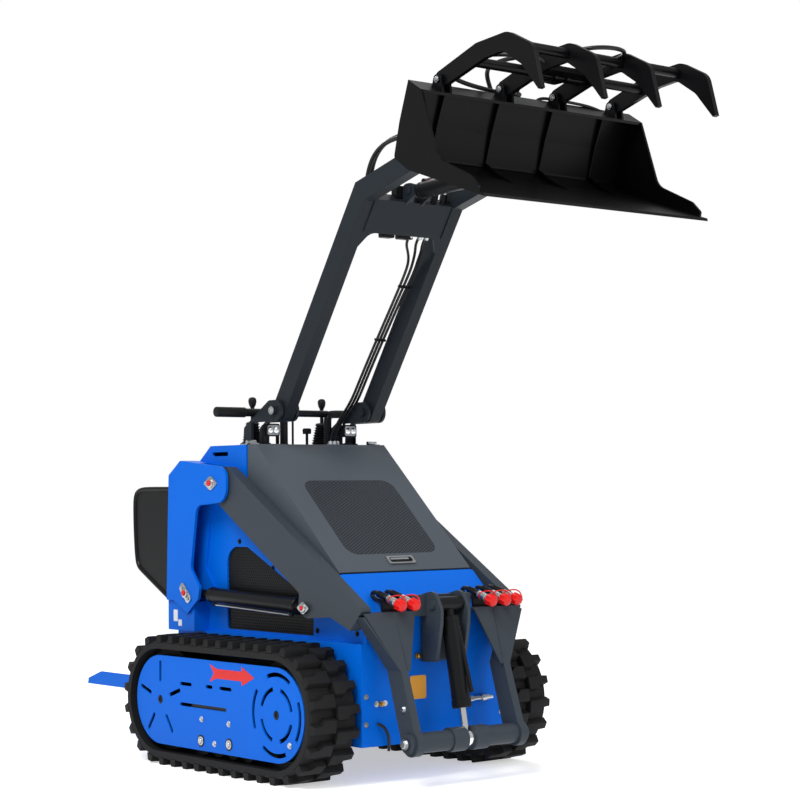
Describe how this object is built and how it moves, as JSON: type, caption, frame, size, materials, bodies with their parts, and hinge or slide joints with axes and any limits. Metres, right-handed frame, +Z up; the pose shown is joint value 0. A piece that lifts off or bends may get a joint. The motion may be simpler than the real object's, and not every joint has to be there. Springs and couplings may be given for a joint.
{
  "type": "mini skid steer loader",
  "caption": "Compact walk-behind loader on rubber tracks, with a lift frame in front and a raised boom carrying a grapple bucket.",
  "frame": {"origin": "on the ground, under the middle of the overall length and width", "axes": "+X forward toward the bucket, +Y to the machine's left, +Z up"},
  "size_m": [2.595, 0.98, 2.2089],
  "materials": {
    "black_paint": "satin paint",
    "black_plastic": "matt",
    "blue_paint": "gloss powder coat",
    "cast_iron": "rough cast",
    "cast_wheels": "painted black",
    "charcoal_paint": "satin powder coat",
    "chrome_rod": "polished",
    "grille_black": "matt mesh",
    "hood_grey": "satin powder coat",
    "latch_steel": "zinc plated",
    "red_plastic": "moulded",
    "track_rubber": "moulded rubber"
  },
  "bodies": {
    "machine": {"boom_bracket_left": "charcoal_paint", "boom_bracket_right": "charcoal_paint", "control_levers": "black_plastic", "deck_hinges": "latch_steel", "engine_block": "cast_iron", "hand_rails": "black_paint", "lower_tub": "blue_paint", "nose_panel": "blue_paint", "platform_mount": "black_paint", "rear_deck": "blue_paint", "rear_guard_left": "black_paint", "rear_guard_right": "black_paint", "side_mesh_left": "black_plastic", "side_mesh_right": "black_plastic", "side_panel_left": "blue_paint", "side_panel_right": "blue_paint", "tower_left": "blue_paint", "tower_right": "blue_paint", "track_cover_left": "blue_paint", "track_cover_right": "blue_paint", "track_frame_left": "black_paint", "track_frame_right": "black_paint", "track_left": "track_rubber", "track_right": "track_rubber", "track_wheels_left": "cast_wheels", "track_wheels_right": "cast_wheels", "work_lamps": "black_plastic"},
    "lift_frame": {"lift_arm_right": "charcoal_paint", "lift_arm_left": "charcoal_paint", "cross_beam": "charcoal_paint", "front_tube": "charcoal_paint", "front_tilt_barrel": "black_paint", "front_tilt_rod": "chrome_rod", "front_couplers": "latch_steel", "coupler_caps": "red_plastic"},
    "hood": {"hood_panel": "hood_grey", "hood_grille": "grille_black", "hood_latch": "latch_steel", "hood_hinges": "latch_steel"},
    "upper_boom": {"boom_arm_right": "charcoal_paint", "boom_arm_left": "charcoal_paint", "boom_cross": "charcoal_paint"},
    "bucket": {"bucket_shell": "black_paint", "bucket_ribs": "black_paint", "bucket_lugs": "black_paint", "grapple_hinges": "black_paint"},
    "grapple": {"grapple_frame": "black_paint"},
    "platform": {"platform": "blue_paint"},
    "lift_right_barrel": {"lift_barrel_right": "black_paint"},
    "lift_right_rod": {"lift_rod_right": "chrome_rod"},
    "lift_left_barrel": {"lift_barrel_left": "black_paint"},
    "lift_left_rod": {"lift_rod_left": "chrome_rod"},
    "tilt_barrel": {"tilt_barrel": "black_paint"},
    "tilt_rod": {"tilt_rod": "chrome_rod"},
    "grapple_barrel": {"grapple_barrel": "black_paint"},
    "grapple_rod": {"grapple_rod": "chrome_rod"}
  },
  "joints": [
    {"name": "lift", "type": "hinge", "parent": "machine", "child": "lift_frame", "pos_m": [-0.3865, 0, 0.946], "axis": [0, -1, 0], "range_deg": [0, 55]},
    {"name": "hood", "type": "hinge", "parent": "machine", "child": "hood", "pos_m": [-0.272, 0, 1.085], "axis": [0, -1, 0], "range_deg": [0, 45]},
    {"name": "upper_boom", "type": "hinge", "parent": "machine", "child": "upper_boom", "pos_m": [-0.1815, 0, 1.19], "axis": [0, -1, 0], "range_deg": [-60, 5]},
    {"name": "bucket_tilt", "type": "hinge", "parent": "upper_boom", "child": "bucket", "pos_m": [0.7305, 0, 1.995], "axis": [0, -1, 0], "range_deg": [-35, 45]},
    {"name": "grapple", "type": "hinge", "parent": "bucket", "child": "grapple", "pos_m": [0.8655, 0, 2.12], "axis": [0, -1, 0], "range_deg": [-38, 40]},
    {"name": "platform", "type": "hinge", "parent": "machine", "child": "platform", "pos_m": [-0.6985, 0, 0.24], "axis": [0, 1, 0], "range_deg": [0, 85]},
    {"name": "lift_right_barrel_turn", "type": "hinge", "parent": "machine", "child": "lift_right_barrel", "pos_m": [-0.5445, -0.312, 0.571], "axis": [0, -1, 0], "range_deg": [0, 38.73]},
    {"name": "lift_right_rod_slide", "type": "slide", "parent": "lift_right_barrel", "child": "lift_right_rod", "axis": [0.9993, 0, -0.0383], "range_m": [0, 0.30612]},
    {"name": "lift_left_barrel_turn", "type": "hinge", "parent": "machine", "child": "lift_left_barrel", "pos_m": [-0.5445, 0.312, 0.571], "axis": [0, -1, 0], "range_deg": [0, 38.73]},
    {"name": "lift_left_rod_slide", "type": "slide", "parent": "lift_left_barrel", "child": "lift_left_rod", "axis": [0.9993, 0, -0.0383], "range_m": [0, 0.30612]},
    {"name": "tilt_barrel_turn", "type": "hinge", "parent": "upper_boom", "child": "tilt_barrel", "pos_m": [0.3155, 0, 1.89], "axis": [0, -1, 0], "range_deg": [-0.4042, 0.3166]},
    {"name": "tilt_rod_slide", "type": "slide", "parent": "tilt_barrel", "child": "tilt_rod", "axis": [0.9997, 0, 0.0247], "range_m": [-0.0534, 0.06863]},
    {"name": "grapple_barrel_turn", "type": "hinge", "parent": "bucket", "child": "grapple_barrel", "pos_m": [0.7155, 0, 2.055], "axis": [0, -1, 0], "range_deg": [-7.27, 7.65]},
    {"name": "grapple_rod_slide", "type": "slide", "parent": "grapple_barrel", "child": "grapple_rod", "axis": [0.6936, 0, 0.7203], "range_m": [-0.04383, 0.04164]}
  ],
  "couplings": [
    {"joint": "lift_right_barrel_turn", "follows": "lift", "ratio": 0.70405},
    {"joint": "lift_right_rod_slide", "follows": "lift", "m_per_rad": 0.31879},
    {"joint": "lift_left_barrel_turn", "follows": "lift", "ratio": 0.70405},
    {"joint": "lift_left_rod_slide", "follows": "lift", "m_per_rad": 0.31879},
    {"joint": "tilt_barrel_turn", "follows": "bucket_tilt", "ratio": -0.00876},
    {"joint": "tilt_rod_slide", "follows": "bucket_tilt", "m_per_rad": 0.087256},
    {"joint": "grapple_barrel_turn", "follows": "grapple", "ratio": 0.19107},
    {"joint": "grapple_rod_slide", "follows": "grapple", "m_per_rad": -0.062631}
  ]
}
